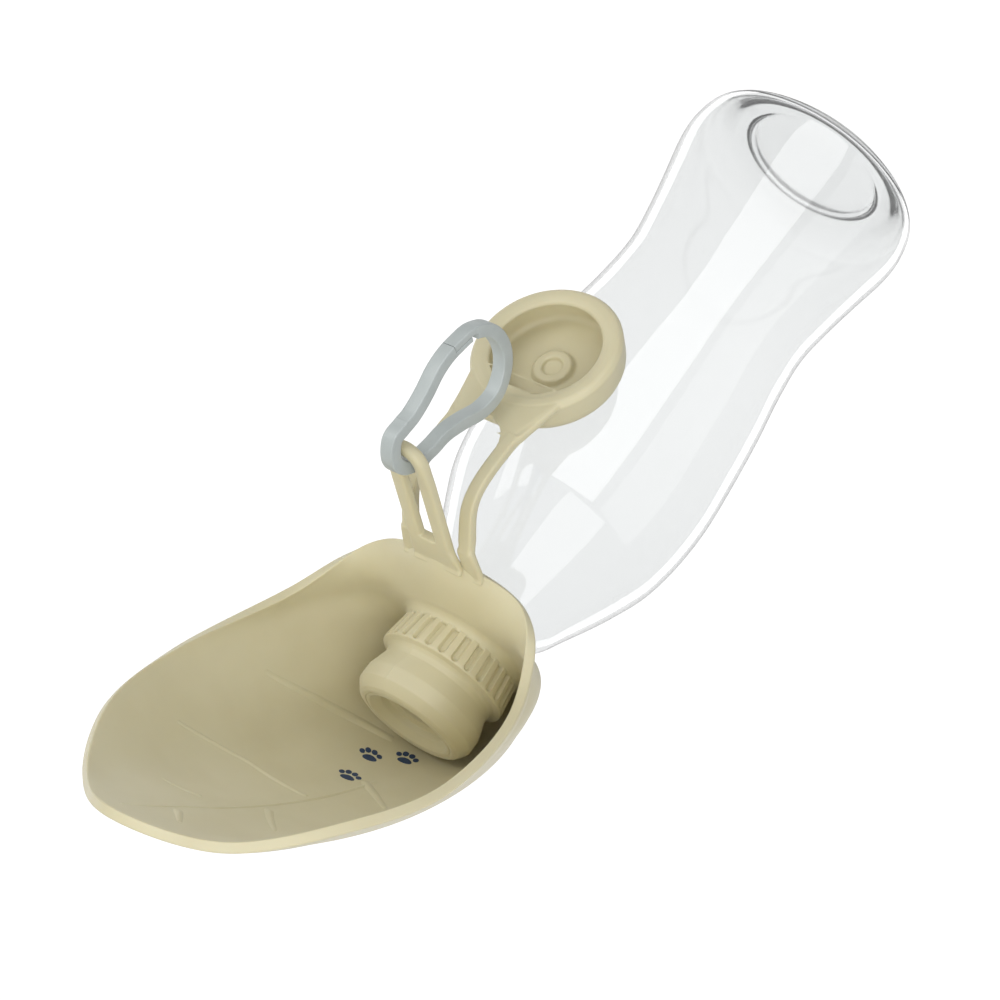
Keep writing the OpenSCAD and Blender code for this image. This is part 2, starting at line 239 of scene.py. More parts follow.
# %% [markdown]
# ## Helpers for bands and bars
#
# Loop, arms, web, carabiner and veins are long shapes with a changing section. A grid primitive is laid
# over a row of sections, like cloth over ribs, and its ends are closed. This keeps the flow of faces
# even, which a bevelled curve would not do where the section changes.

# %% Helpers for bands and bars
def lofted(name, rings):
    """Lays a grid over rings of places, each ring with the same number of them, and closes both ends."""
    rows, columns = len(rings), len(rings[0])
    bpy.ops.mesh.primitive_grid_add(x_subdivisions=rows - 1, y_subdivisions=columns, size=1)
    obj = named(name)
    for vertex in obj.data.vertices:
        i = round((vertex.co.x + 0.5) * (rows - 1))
        j = round((vertex.co.y + 0.5) * columns) % columns
        vertex.co = Vector(rings[i][j]) * MM
    in_edit(obj)
    bpy.ops.mesh.remove_doubles(threshold=0.001 * MM)
    bpy.ops.mesh.select_all(action="SELECT")
    bpy.ops.mesh.fill_holes(sides=0)
    bpy.ops.mesh.select_all(action="SELECT")
    bpy.ops.mesh.normals_make_consistent(inside=False)
    done()
    return obj


def swept(points, fixed, sections):
    """Rings along points. A section's first number runs along fixed, its second across the path."""
    rings = []
    for i, point in enumerate(points):
        along = (points[min(i + 1, len(points) - 1)] - points[max(i - 1, 0)]).normalized()
        across = along.cross(fixed).normalized()
        rings.append([point + a * fixed + b * across for a, b in sections[i]])
    return rings


def bar_section(a_low, a_high, b_low, b_high, radius):
    """A rounded rectangle."""
    return rounded([(a_low, b_low, radius), (a_high, b_low, radius), (a_high, b_high, radius),
                    (a_low, b_high, radius)])


# %% [markdown]
# ## Helpers for joining and finishing
#
# Soft parts of one moulding have no seams between them. A voxel remesh melts closed parts that overlap
# into one skin, and a Smooth modifier softens the inner corners that are left. The last helper gives a
# piece its material, hides the imported nodes that it stands for, and hangs it on the body that it moves
# with, or leaves a piece that bends where it is.

# %% Helpers for joining and finishing
def melted(name, parts, voxel, rounds):
    """Joins closed parts and melts them into one mesh."""
    pick(parts[0])
    for part in parts:
        part.select_set(True)
    bpy.ops.object.join()
    obj = named(name)
    modify(obj, "REMESH", mode="VOXEL", voxel_size=voxel * MM, adaptivity=0)
    modify(obj, "SMOOTH", factor=0.5, iterations=rounds)
    pick(obj)
    bpy.ops.object.shade_smooth()
    return obj


def finish_piece(obj, material, nodes=(), body=None, bend=None):
    """Gives a piece its material and hides the nodes that it stands for. It rides on a body, or, with a
    bend, keeps its place.
    """
    obj.data.materials.clear()
    obj.data.materials.append(material)
    if bend:
        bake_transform(obj)
    else:
        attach(obj, body)
    if nodes:
        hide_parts(*nodes)
    print(obj.name, len(obj.data.polygons), "faces")


# %% [markdown]
# ## A recipe for moulded materials
#
# Nothing moulded is quite one colour: its tone drifts softly over centimetres, and its skin has a fine
# grain that breaks up the gloss. Both come from noise on Object coordinates, so they stay on the piece
# when it moves. The large noise picks between two tones, and the fine one drives roughness and a very
# shallow bump.

# %% A recipe for moulded materials
def plastic(name, dark, light, tone_scale, roughness, grain_scale, grain):
    """A moulded material: its colour varies softly between two tones, and its skin has a fine grain."""
    material = bpy.data.materials.new(name)
    material.use_nodes = True
    nodes, links = material.node_tree.nodes, material.node_tree.links
    shader = nodes["Principled BSDF"]
    place = nodes.new("ShaderNodeTexCoord")
    tone = nodes.new("ShaderNodeTexNoise")
    tone.inputs["Scale"].default_value = tone_scale
    tone.inputs["Detail"].default_value = 3
    links.new(place.outputs["Object"], tone.inputs["Vector"])
    colours = nodes.new("ShaderNodeValToRGB")
    colours.color_ramp.elements[0].position = 0.35
    colours.color_ramp.elements[0].color = (*dark, 1)
    colours.color_ramp.elements[1].position = 0.65
    colours.color_ramp.elements[1].color = (*light, 1)
    links.new(tone.outputs["Fac"], colours.inputs["Fac"])
    links.new(colours.outputs["Color"], shader.inputs["Base Color"])
    fine = nodes.new("ShaderNodeTexNoise")
    fine.inputs["Scale"].default_value = grain_scale
    fine.inputs["Detail"].default_value = 4
    links.new(place.outputs["Object"], fine.inputs["Vector"])
    satin = nodes.new("ShaderNodeMapRange")
    satin.inputs["To Min"].default_value = 0.9 * roughness
    satin.inputs["To Max"].default_value = 1.1 * roughness
    links.new(fine.outputs["Fac"], satin.inputs["Value"])
    links.new(satin.outputs["Result"], shader.inputs["Roughness"])
    bump = nodes.new("ShaderNodeBump")
    bump.inputs["Strength"].default_value = grain
    bump.inputs["Distance"].default_value = 0.05 * MM
    links.new(fine.outputs["Fac"], bump.inputs["Height"])
    links.new(bump.outputs["Normal"], shader.inputs["Normal"])
    print("material", name)
    return material, shader


# %% [markdown]
# ## Silicone, print, white parts and carabiner
#
# Silicone is a satin rubber that light enters a little way, so it gets some subsurface scattering, and a
# little sheen lightens its edges. The carabiner is harder, greyer and a touch glossier. The washer and
# the insert are plain white mouldings. The print is a thin matt ink.

# %% Silicone, print, white parts and carabiner
silicone, shader = plastic("silicone", (0.605, 0.550, 0.350), (0.640, 0.588, 0.388), 45, 0.50, 2600, 0.25)
shader.inputs["Subsurface Weight"].default_value = 0.12
shader.inputs["Subsurface Radius"].default_value = (1.0, 0.65, 0.3)
shader.inputs["Subsurface Scale"].default_value = 2 * MM
shader.inputs["Specular IOR Level"].default_value = 0.5
shader.inputs["Sheen Weight"].default_value = 0.2
shader.inputs["Sheen Roughness"].default_value = 0.5

carabiner_grey, shader = plastic("carabiner_grey", (0.415, 0.455, 0.448), (0.455, 0.495, 0.488),
                                 120, 0.42, 1800, 0.35)
insert_white, shader = plastic("insert_white", (0.76, 0.76, 0.73), (0.80, 0.80, 0.77), 60, 0.45, 1500, 0.2)
washer_rubber, shader = plastic("washer_rubber", (0.78, 0.78, 0.75), (0.82, 0.82, 0.79), 60, 0.6, 1500, 0.2)
navy_ink, shader = plastic("navy_ink", (0.018, 0.042, 0.105), (0.026, 0.055, 0.125), 400, 0.55, 2600, 0.2)

# %% [markdown]
# ## Clear plastic
#
# The bottle is see-through with a faint grey tint. Full transmission with the index of such plastic bends
# the light at its edges and its foot, and a low roughness keeps the reflections straight-edged.

# %% Clear plastic
clear_plastic, shader = plastic("clear_plastic", (0.862, 0.871, 0.871), (0.880, 0.888, 0.888),
                                12, 0.055, 300, 0.01)
shader.inputs["Transmission Weight"].default_value = 1.0
shader.inputs["IOR"].default_value = 1.47

# %% [markdown]
# ## Outside of the bottle
#
# The bottle is blown, so its wall is even: the inside follows the outside. A cylinder could be pulled
# into shape ring by ring, but one outline that is spun about the axis gives a smoother waist, and its
# wall is true everywhere. First comes the outside, as a smooth line through radii and heights, and the
# hollow in the foot.

# %% Outside of the bottle
NECK_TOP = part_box("bottle")[1].z / MM
WALL = 1.6
BODY_TOP = 180
SIDE = [(30.9, 2), (36.1, 6), (37.85, 12.5), (37.6, 20), (35.2, 32), (32.8, 45), (31.3, 58), (32.2, 72),
        (34.4, 88), (36.0, 104), (37.0, 120), (36.2, 134), (33.9, 146), (29.9, 156), (26.0, 164),
        (22.2, 171), (19.3, 176.5), (16.5, BODY_TOP)]
RECESS = [(0, 4.2), (8, 4.1), (15, 3.8), (19.5, 3.0), (21.8, 1.5), (22.6, 0.3)]

outside = through(SIDE, 5)
print("the bottle is", 2 * max(p.x for p in outside), "mm wide")

# %% [markdown]
# ## Inside and neck of the bottle
#
# The inside is the outside moved inwards by the wall. The neck is straight-sided, with rounded corners,
# and the inside of the foot follows the hollow. All of it is joined into one outline and spun.

# %% Inside and neck of the bottle
inside = []
for i, point in enumerate(outside):
    along = (outside[min(i + 1, len(outside) - 1)] - outside[max(i - 1, 0)]).normalized()
    inside.append(point + WALL * Vector((-along.y, along.x)))
inside = [p for p in inside if 5.5 < p.y < BODY_TOP - 1]

neck = rounded([(16.5, BODY_TOP, 0.4), (16.5, 182, 0.4), (12.45, 182, 0.4), (12.45, NECK_TOP, 0.5),
                (10.8, NECK_TOP, 0.5), (10.8, 181, 3), (15.0, 179.5, 0)], closed=False, steps=3)
floor_inside = through([(33.5, 6.0), (30.5, 4.4), (26.5, 4.0), (23, 4.6), (17, 5.4), (9, 5.75), (0, 5.8)], 3)
heel = through([(22.6, 0.3), (23.2, 0.06), (26.0, 0.06), (28.0, 0.55), (30.9, 2)], 3)
outline = through(RECESS, 3)[:-1] + heel[:-1] + outside[:-1] + neck[:-1] + inside[::-1] + floor_inside
bottle = turned("bottle_body", outline, 144, closed=False)
smooth(bottle, 50)
finish_piece(bottle, clear_plastic, ["bottle"], body="bottle")

# %% [markdown]
# ## Thread on the neck
#
# The closure screws on a single ridge that climbs the neck in two and a half turns. It could be cut as
# rings, but then nothing would climb, so a Screw modifier turns and lifts its section, and the two ends
# are closed.

# %% Thread on the neck
PITCH, TURNS = 4.2, 2.5
thread = trace("neck_thread", [(12.2, 185.2), (13.1, 185.75), (13.65, 186.1), (13.65, 186.5), (13.1, 186.9),
                               (12.2, 187.6)], closed=True)
modify(thread, "SCREW", angle=math.radians(360 * TURNS), screw_offset=TURNS * PITCH * MM,
       steps=160, render_steps=160, use_normal_calculate=True)
in_edit(thread)
bpy.ops.mesh.fill_holes(sides=0)
bpy.ops.mesh.select_all(action="SELECT")
bpy.ops.mesh.normals_make_consistent(inside=False)
done()
smooth(thread)
finish_piece(thread, clear_plastic, body="bottle")

# %% [markdown]
# ## The lines of the bowl
#
# The bowl is a leaf-shaped silicone skin that grows from the collar. Sculpting it would leave its skin
# uneven, so it is drawn: every line from its root to its rim is one cubic curve, and three rings of
# control places round the neck say how these curves go. The stations of each ring are joined smoothly.

# %% The lines of the bowl
SPOUT_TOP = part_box("spout")[1].z / MM
GRIP_LOW, GRIP_HIGH = 191.7, 201.3
SKIN, RIM_BEAD = 2.2, 3.6
ROOT_Z = 190.3
ROOT_R = 18.2
OVER = SPOUT_TOP - ROOT_Z
REACH, HALF_WIDTH, RISE, BACK_LIP = 84.5, 47.6, 79.5, 36.5
# Stations of each control ring: reach towards the mouth, half width, height above the root
NEAR = [(-52, 0, -4.3), (-42, 13, -4.6), (-24, 20.5, -5.4), (-4.5, 30.5, -6.9), (9, 31, -7.5),
        (20, 16, -3.2), (24.6, 0, -1.7)]
MIDDLE = [(-16, 0, OVER + 24.5), (-11.5, 25, OVER + 21.5), (5, 35, OVER + 14.5), (15, 41, OVER + 3),
          (17, 40, 12.3), (25, 24, -2.5), (30.8, 0, -2.5)]
RIM = [(REACH, 0, OVER + RISE), (0.85 * REACH, 0.5 * HALF_WIDTH, OVER + 0.89 * RISE),
       (0.7 * REACH, 0.865 * HALF_WIDTH, OVER + 0.61 * RISE), (0.49 * REACH, HALF_WIDTH, OVER + 0.28 * RISE),
       (0.3 * REACH, 0.86 * HALF_WIDTH, 17.2), (BACK_LIP - 9.6, 25.5, -6.5), (BACK_LIP, 0, -7)]
STATIONS = 12
ROOT_DROP = 1.2


def station(ring, k):
    """Station k of a control ring, which mirrors about the middle."""
    k %= STATIONS
    x, y, z = ring[k] if k < len(ring) else ring[STATIONS - k]
    return Vector((x, y if k < len(ring) else -y, z))


def ring_point(ring, share):
    """The place at a share of the way round a control ring."""
    k = math.floor(share * STATIONS)
    return between(*(station(ring, k + j) for j in (-1, 0, 1, 2)), share * STATIONS - k)


def cubic(a, b, c, d, t):
    """A place on the cubic curve that leaves a towards b and reaches d from c."""
    return (1 - t) ** 3 * a + 3 * (1 - t) ** 2 * t * b + 3 * (1 - t) * t * t * c + t ** 3 * d


def skin_point(share, s):
    """A place on the skin's middle, in millimetres: share of the way round, and s from root to rim."""
    angle = 2 * math.pi * share
    root = Vector((-ROOT_R * math.cos(angle), ROOT_R * math.sin(angle), 0))
    p = cubic(root, *(ring_point(ring, share) for ring in (NEAR, MIDDLE, RIM)), s)
    drop = ROOT_DROP * max(0.0, 1 - 4 * s) ** 2
    return Vector((-p.x, p.y, ROOT_Z + p.z - drop))


def skin_normal(share, s):
    """Points to the wet side."""
    across = skin_point(share + 0.002, s) - skin_point(share - 0.002, s)
    outwards = skin_point(share, min(s + 0.004, 1)) - skin_point(share, max(s - 0.004, 0))
    return outwards.cross(across).normalized()


print("the bowl's skin starts", ROOT_R, "mm from the axis, at a height of", ROOT_Z, "mm")

# %% [markdown]
# ## The section of the bowl
#
# The skin has a wet side and a dry side. The wet side stays flush up to the rim and has a fillet where it
# meets the collar. The dry side thickens into a bead at the rim, which keeps a soft bowl in shape. The
# rim's end face is a small outline of its own with rounded edges.

# %% The section of the bowl
COLLAR_R, FILLET = 18.6, 2.6
# The rim's end face, from the wet side to the dry side: height over the skin's middle, and distance out
RIM_EDGE = [(p.x, p.y) for p in
            rounded([(SKIN / 2, 0.4, 0), (SKIN / 2, 1.55, 0.75), (-RIM_BEAD / 2, 1.3, 1.0),
                     (-RIM_BEAD / 2, 0, 0)], closed=False, steps=4)]
AROUND, UP = 240, 56
BEAD = len(RIM_EDGE)
ROWS = 2 * UP + BEAD + 1


def dry_half(s):
    """Half the skin, thickened towards the rim. The wet side stays flush."""
    thick = max(0.0, (s - 0.9) / 0.1)
    return SKIN / 2 + (RIM_BEAD - SKIN) / 2 * (1 - math.cos(math.pi * thick)) / 2


def wet_side(share, s):
    """A place on the wet side, with a fillet where the skin meets the collar."""
    p = skin_point(share, s) + SKIN / 2 * skin_normal(share, s)
    out = math.hypot(p.x, p.y) - COLLAR_R
    if s < 0.15 and out < FILLET:
        p.z += FILLET - math.sqrt(FILLET ** 2 - (FILLET - max(out, 0)) ** 2)
    return p


def section_point(share, k):
    """Place k of the section: up the wet side, round the bead, and down the dry side."""
    if k <= UP:
        return wet_side(share, (k / UP) ** 1.15)
    if k < UP + BEAD:
        outward = (skin_point(share, 1) - skin_point(share, 0.98)).normalized()
        up, out = RIM_EDGE[k - UP]
        return skin_point(share, 1) + up * skin_normal(share, 1) + out * outward
    s = (2 * UP + BEAD - k) / UP
    return skin_point(share, s) - dry_half(s) * skin_normal(share, s)


# %% [markdown]
# ## Bowl
#
# A torus primitive is the right start: its long way round becomes the way round the neck, and its short
# way round becomes the section, up the wet side, over the rim and back down the dry side. So the skin is
# closed from the start and has no seam. Each vertex is moved to its place in the section.

# %% Bowl
bpy.ops.mesh.primitive_torus_add(major_segments=AROUND, minor_segments=ROWS, major_radius=1,
                                 minor_radius=0.2)
bowl = named("bowl_skin")
for vertex in bowl.data.vertices:
    x, y, z = vertex.co
    column = round(math.atan2(y, x) / (2 * math.pi) * AROUND) % AROUND
    row = round(math.atan2(z, math.hypot(x, y) - 1) / (2 * math.pi) * ROWS) % ROWS
    vertex.co = section_point(column / AROUND, row) * MM
in_edit(bowl)
bpy.ops.mesh.normals_make_consistent(inside=False)
done()
smooth(bowl, 80)
finish_piece(bowl, silicone, ["bowl"], body="closure")

# %% [markdown]
# ## Veins in the bowl
#
# The wet side carries low ridges like the veins of a leaf. They could be a bump in the material, but a
# ridge that is seen should be there in the mesh. Each is a flat lens-shaped section carried along a line
# on the skin. It is widest where the vein starts, and it sinks into the skin where the vein fades.

# %% Veins in the bowl
# Each vein: half width, height at its start, and its places (share of the way round, s from root to rim)
VEINS = {
    "midrib": (0.7, 0.42, [(1.006, 0.615), (1.008, 0.68), (1.009, 0.74), (1.008, 0.785), (1.006, 0.835),
                            (1.003, 0.88), (0.997, 0.92), (0.994, 0.965), (0.99, 0.985)]),
    "vein_far_long": (1.5, 0.62, [(0.95, 0.49), (0.907, 0.52), (0.871, 0.565), (0.84, 0.62),
                                  (0.804, 0.695)]),
    "vein_far_middle": (1.1, 0.5, [(1.001, 0.74), (0.9625, 0.75), (0.9235, 0.77), (0.89, 0.815),
                                    (0.8625, 0.87)]),
    "vein_far_short": (0.9, 0.36, [(0.978, 0.875), (0.96, 0.89), (0.94, 0.905)]),
    "vein_near_long": (1.5, 0.45, [(1.0, 0.63), (1.029, 0.655), (1.064, 0.695)]),
    "vein_near_middle": (1.3, 0.42, [(1.015, 0.82), (1.036, 0.85), (1.057, 0.88)]),
    "vein_near_short": (1.3, 0.4, [(1.004, 0.93), (1.017, 0.945), (1.028, 0.96)]),
}
FADED = 0.25
# The ridge's section: how far aside in half widths, how high in heights, and how far sunk in SINKs
RIDGE = [(-1.3, 0, 1), (-0.75, 0.42, 0), (-0.35, 0.88, 0), (0, 1, 0), (0.35, 0.88, 0), (0.75, 0.42, 0),
         (1.3, 0, 1), (0.6, 0, 4), (-0.6, 0, 4)]
SINK = 0.12


def vein(name, half_width, height, places):
    """A ridge along places on the skin, from its full height to where it has faded."""
    line = through(places, 10)
    rings = []
    for i, (share, s) in enumerate(line):
        ahead, behind = line[min(i + 1, len(line) - 1)], line[max(i - 1, 0)]
        up = skin_normal(share, s)
        along = (skin_point(*ahead) - skin_point(*behind)).normalized()
        side = along.cross(up)
        t = i / (len(line) - 1)
        size = (1 - t ** 1.5) + FADED * t ** 1.5
        ends = math.sqrt(min(1.0, 4 * i / (len(line) - 1) + 0.1))
        top = height * size * ends
        wide = half_width * (0.4 + 0.6 * size)
        foot = skin_point(share, s) + SKIN / 2 * up
        rings.append([foot + wide * a * side + (top * b - SINK * c) * up for a, b, c in RIDGE])
    obj = lofted(name, rings)
    smooth(obj, 60)
    finish_piece(obj, silicone, body="closure")


for name, (half_width, height, places) in VEINS.items():
    vein(name, half_width, height, places)

# %% [markdown]
# ## Print in the bowl
#
# A small navy print sits on the wet side before the spout: three paw marks, walking to the water. It
# could be painted in the bowl's material, but as thin pieces it keeps sharp edges from close by. A pad
# and four toes are flat discs, laid on the skin with a Shrinkwrap modifier and thickened a little.

# %% Print in the bowl
# Each mark of one paw: how far forwards, how far to the side, half length, half width
PAW = [(-1.0, 0.0, 1.5, 2.0), (1.1, -2.5, 1.05, 0.8), (2.4, -0.95, 1.2, 0.85), (2.4, 0.95, 1.2, 0.85),
       (1.1, 2.5, 1.05, 0.8)]
# Each paw: its share of the way round, its s, and its turn to the left in degrees
PAWS = [(0.9865, 0.515, 20), (0.962, 0.565, 35), (0.983, 0.64, 20)]
INK = 0.1

marks = []
for share, s, turned_by in PAWS:
    middle = skin_point(share, s) + SKIN / 2 * skin_normal(share, s)
    up = skin_normal(share, s)
    forwards = (skin_point(share, s - 0.02) - skin_point(share, s)).normalized()
    left = up.cross(forwards)
    heading = math.radians(turned_by)
    forwards, left = (math.cos(heading) * forwards + math.sin(heading) * left,
                      math.cos(heading) * left - math.sin(heading) * forwards)
    for ahead, aside, half_length, half_width in PAW:
        bpy.ops.mesh.primitive_circle_add(vertices=28, radius=1, fill_type="TRIFAN")
        mark = named("mark")
        for vertex in mark.data.vertices:
            x, y = vertex.co.xy
            bulge = 1 - 0.25 * x if half_width > 1.5 else 1
            vertex.co = (middle + (ahead + half_length * x) * forwards
                         + (aside + half_width * y * bulge) * left + 2 * up) * MM
        marks.append(mark)
pick(marks[0])
for mark in marks:
    mark.select_set(True)
bpy.ops.object.join()
paws = named("paw_print")
modify(paws, "SHRINKWRAP", target=bowl, wrap_method="NEAREST_SURFACEPOINT", wrap_mode="ABOVE_SURFACE",
       offset=INK / 2 * MM)
in_edit(paws)
bpy.ops.mesh.normals_make_consistent(inside=False)
done()
modify(paws, "SOLIDIFY", thickness=INK * MM, offset=0)
smooth(paws, 30)
paws.data.materials.clear()
paws.data.materials.append(navy_ink)
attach(paws, "closure")
print(paws.name, len(paws.data.polygons), "faces")

# %% [markdown]
# ## Outline of collar and spout
#
# The ribbed grip and the spout are one soft turned shape: the grip, a groove, the spout's bead that the
# cap snaps over, a wide lip, the water passage, and the wide bore that takes the threaded insert. It is
# one closed outline, spun with enough columns for the flutes.

# %% Outline of collar and spout
FLUTES, COLUMNS = 28, 14
GRIP_WIDENS, GRIP_FULL = 1.3, 200.6
GRIP_ROWS, ROW_STEP = 26, 0.35
grip_rows = [(COLLAR_R + GRIP_WIDENS * (z - GRIP_LOW) / (GRIP_FULL - GRIP_LOW), z)
             for z in [GRIP_LOW + ROW_STEP * k for k in range(GRIP_ROWS)]]
collar_outline = (
    [Vector(p) for p in grip_rows]
    + rounded([(19.9, 200.75, 0), (19.85, 201.5, 0.8), (18.0, 202.0, 1.0), (17.15, 203.0, 1.0),
               (17.1, 204.8, 1.4), (18.75, 210.2, 1.6), (18.75, 214.6, 1.2), (16.6, 217.5, 1.0),
               (15.3, 218.05, 0.6), (14.35, 218.05, 0.05), (14.15, 217.8, 0.05), (13.95, 218.05, 0.05),
               (13.1, 218.0, 0.9), (10.9, 215.7, 0.9), (10.6, 213.9, 0.5), (8.6, 213.3, 0.6),
               (8.1, 203.3, 0.3), (15.85, 203.1, 0.2), (15.85, 183.0, 0.2), (18.0, 183.0, 0.5),
               (18.3, 184.0, 0.3), (18.35, 190.0, 0)], closed=False, steps=5)
)
collar = turned("grip_and_spout", collar_outline, FLUTES * COLUMNS)
print("the collar's outline has", len(collar_outline), "points")

# %% [markdown]
# ## Flutes and mould line
#
# The flutes are short grooves with round ends that give fingers a grip. Cutting them out one by one would
# leave hard edges, so they are pressed in: each vertex of the grip moves towards the axis by the depth of
# the flute at its place, with a soft lip. A faint ridge down one side is where the halves of the mould
# met.

# %% Flutes and mould line
FLUTE_LOW, FLUTE_HIGH = 193.3, 199.8
FLUTE_HALF, FLUTE_DEPTH, FLUTE_LIP = 1.2, 1.15, 0.65
MOULD_LINE, MOULD_LINE_HALF, MOULD_LINE_HEIGHT = math.radians(188), 0.2, 0.12
GROOVE_R, GRIP_R = 15.9, 17.5
for vertex in collar.data.vertices:
    x, y, z = vertex.co / MM
    radius = math.hypot(x, y)
    angle = math.atan2(y, x)
    from_line = abs((angle - MOULD_LINE + math.pi) % (2 * math.pi) - math.pi) * radius
    on_line = from_line < MOULD_LINE_HALF and z > GRIP_HIGH - 0.6 and radius > GROOVE_R
    rise = MOULD_LINE_HEIGHT if on_line else 0
    if radius > GRIP_R and GRIP_LOW < z < GRIP_HIGH - 0.4:
        pitch = 2 * math.pi / FLUTES
        across = ((angle / pitch) % 1 - 0.5) * pitch * radius
        past_end = max(FLUTE_LOW - z, 0, z - FLUTE_HIGH)
        inside_edge = FLUTE_HALF - math.hypot(across, past_end)
        t = min(max(inside_edge / FLUTE_LIP + 0.1, 0), 1)
        rise -= FLUTE_DEPTH * t * t * (3 - 2 * t)
    vertex.co.x *= 1 + rise / radius
    vertex.co.y *= 1 + rise / radius
smooth(collar, 35)
finish_piece(collar, silicone, ["grip_collar", "spout"], body="closure")

# %% [markdown]
# ## Ring of the clip loop
#
# A soft loop on the bowl's back lip carries the carabiner. It is a rounded band that runs out, round the
# slot and back, thicker and rounder at its tip, where the carabiner wears on it. A plate with a slot cut
# out would have square edges, so the band is swept along its middle line instead.

# %% Ring of the clip loop
LIP_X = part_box("clip_loop")[1].x / MM
LOOP_LENGTH, LOOP_DROOP = 44.04, 10.5
BAND = 3.0
TETHER_Z = 183.3
BAR, HALF_SLOT = 4.5, 2.6
TIP_BAR, TIP_BAND = 3.6, 3.9
ACROSS = Vector((0, 1, 0))

droop = math.radians(LOOP_DROOP)
loop_out = Vector((-math.cos(droop), 0, -math.sin(droop)))
loop_up = Vector((-math.sin(droop), 0, math.cos(droop)))
loop_start = Vector((LIP_X, 0, TETHER_Z + 0.2))


def loop_place(out, side):
    """A place on the loop's middle: how far out from the lip, and how far to the side."""
    return loop_start + out * loop_out + Vector((0, side, 0))


def tip_share(out):
    """0 on the straight bars, 1 at the tip."""
    t = min(max((out - LOOP_LENGTH + 15) / 9, 0), 1)
    return t * t * (3 - 2 * t)


bar_mid = HALF_SLOT + BAR / 2
tip_centre = LOOP_LENGTH - bar_mid - BAR / 2
tip_reach = LOOP_LENGTH - TIP_BAR / 2 - tip_centre
legs = [5.5 + k for k in range(int(tip_centre - 5.5) + 1)]
route = [(out, -bar_mid) for out in legs]
route += [(tip_centre + tip_reach * math.sin(a), -bar_mid * math.cos(a))
          for a in [math.pi * k / 24 for k in range(25)]]
route += [(out, bar_mid) for out in reversed(legs)]
sections = []
for out, side in route:
    t = tip_share(out)
    thick, wide = BAND + (TIP_BAND - BAND) * t, BAR + (TIP_BAR - BAR) * t
    sections.append(bar_section(-thick / 2, thick / 2, -wide / 2, wide / 2, 1.0 + 0.7 * t))
loop_ring = lofted("loop_ring", swept([loop_place(*p) for p in route], loop_up, sections))
print("the loop is", 2 * (HALF_SLOT + BAR), "mm wide")

# %% [markdown]
# ## Root of the clip loop
#
# Loop and arms grow out of the bowl's rim. A root starts inside the skin, thinner than the skin, so that
# nothing of it shows, and reaches the band's full thickness a few millimetres out. Ring and root are
# melted into one. The loop lifts on the lip.

# %% Root of the clip loop
BACK = 0.5
BURIED = (0.9, 0.95, 1.0)
BURIED_HALF = 0.9
VOXEL = 0.3
LIP_BEND = ("closure", "tether", Vector((-36.8, 0, 184.2)), Vector((-40.6, 0, 183.4)))


def root_shape(share, line, half_width, more):
    """A root that starts in the skin, at a share of the way round, and grows to the band's thickness."""
    points = through([skin_point(share, s) for s in BURIED] + line, 4)
    sections = []
    for i in range(len(points)):
        t = i / (len(points) - 1)
        grown = min(max(2.2 * t - 0.8, 0), 1)
        wide = half_width + more * (1 - grown)
        thick = BURIED_HALF + (BAND / 2 - BURIED_HALF) * grown
        sections.append(bar_section(-wide, wide, -thick, thick, 0.8 * thick))
    return points, sections


root, root_sections = root_shape(BACK, [loop_place(3, 0), loop_place(6, 0), loop_place(8, 0)], 7.0, 1.5)
loop_root = lofted("loop_root", swept(root, ACROSS, root_sections))
clip_loop = melted("clip_loop_soft", [loop_ring, loop_root], VOXEL, 6)
finish_piece(clip_loop, silicone, ["clip_loop"], bend=LIP_BEND)

# %% [markdown]
# ## Cap
#
# The cap hangs with its mouth to the front. Its hollow has a lip that snaps over the spout's bead, and a
# small stopper ring on its floor closes the passage. It is turned like the collar, about its own axis,
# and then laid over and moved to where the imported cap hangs.

# %% Cap
CAP_D, CAP_Z, CAP_TILT = 56.5, 121.3, -3
CAP_DEPTH, CAP_FLOOR = 12.5, 2.2
HOLLOW_R, MOUTH_R = 18.9, 16.0
cap_place = (Matrix.Translation((-CAP_D, 0, CAP_Z))
             @ Matrix.Rotation(math.radians(CAP_TILT - 90), 4, "Y"))

# The cap as distance from its axis and height above its mouth
cap_floor_z = CAP_FLOOR - CAP_DEPTH
cap_outline = rounded([
    (0, -CAP_DEPTH, 0), (20.6, -CAP_DEPTH, 5), (21.85, -1.9, 0.8), (20.9, -0.65, 0.4), (20.35, -0.6, 0.1),
    (20.2, -0.35, 0.2), (18.3, -0.3, 1.5), (16.5, -0.7, 0.7), (MOUTH_R, -1.3, 0.4),
    (MOUTH_R + 0.1, -2.0, 0.3), (HOLLOW_R, -3.0, 0.8), (HOLLOW_R, cap_floor_z, 2.2),
    (6.4, cap_floor_z, 0.5), (5.4, cap_floor_z + 1.9, 0.8), (3.1, cap_floor_z + 1.9, 0.7),
    (2.7, cap_floor_z + 0.5, 0.4), (0, cap_floor_z + 0.5, 0)], closed=False, steps=5)
cap_body = turned("cap_body", cap_outline, 160, closed=False)
cap_body.data.transform(Matrix.Scale(1 / MM, 4))
cap_body.data.transform(Matrix.Scale(MM, 4) @ cap_place)
print("the cap has", len(cap_body.data.vertices), "vertices")

# %% [markdown]
# ## Web of the cap
#
# The web is a flat tongue that leaves the cap along two tangents and ends in the two arms, with a round
# window between them. Its outline is drawn once, seen from the front, and stacked in rings that are drawn
# in at both faces, which rounds its edges. Near the cap its front sinks below the cap's lip.

# %% Web of the cap
TOUCH_R, LIP_R = 18.4, 19.6
WEB_X, WINDOW_X, ARM_GAP, ARM_OUT = 30.8, 34.4, 8, 12
SINK_FROM, SINK_OVER, SINK_DEPTH = 29, 5, 0.6
# Rings of the web's front and of its back: height above the cap's mouth, and how far they are drawn in
WEB_FRONT = ((-0.1, 0.7), (-0.3, 0.25), (-0.75, 0))
WEB_BACK = ((-2.3, 0), (-2.8, 0.25), (-3.0, 0.7))

